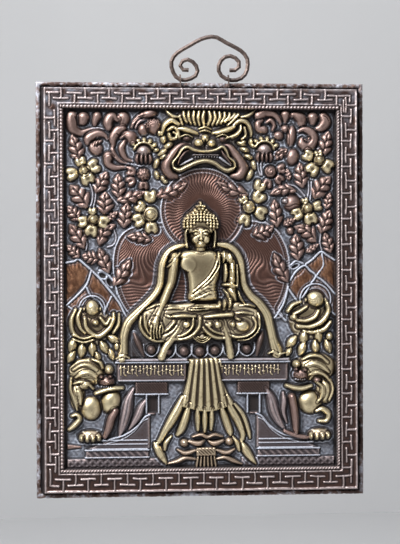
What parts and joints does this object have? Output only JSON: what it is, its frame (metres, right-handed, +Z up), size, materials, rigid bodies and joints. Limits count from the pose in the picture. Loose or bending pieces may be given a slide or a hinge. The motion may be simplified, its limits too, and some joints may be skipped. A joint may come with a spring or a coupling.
{
  "type": "repousse copper plaque",
  "caption": "Rectangular hanging wall plaque of copper sheet worked in relief with a seated figure on a throne, a fret border, a folded edge and a forged scroll loop at the top.",
  "frame": {"origin": "middle of the flat back of the back sheet, where the plaque lies on the wall", "axes": "+Z up the plaque, +X to the viewer's right, the relief faces -Y and the back faces +Y"},
  "size_m": [0.2418, 0.0205, 0.3405],
  "materials": {
    "copper": "worked and patinated copper, gilded in parts",
    "iron": "dark forged bar"
  },
  "bodies": {
    "root": {"relief_front": "copper", "back_sheet": "copper", "hanging_loop": "iron", "tie_left": "iron", "tie_right": "iron"}
  },
  "joints": []
}
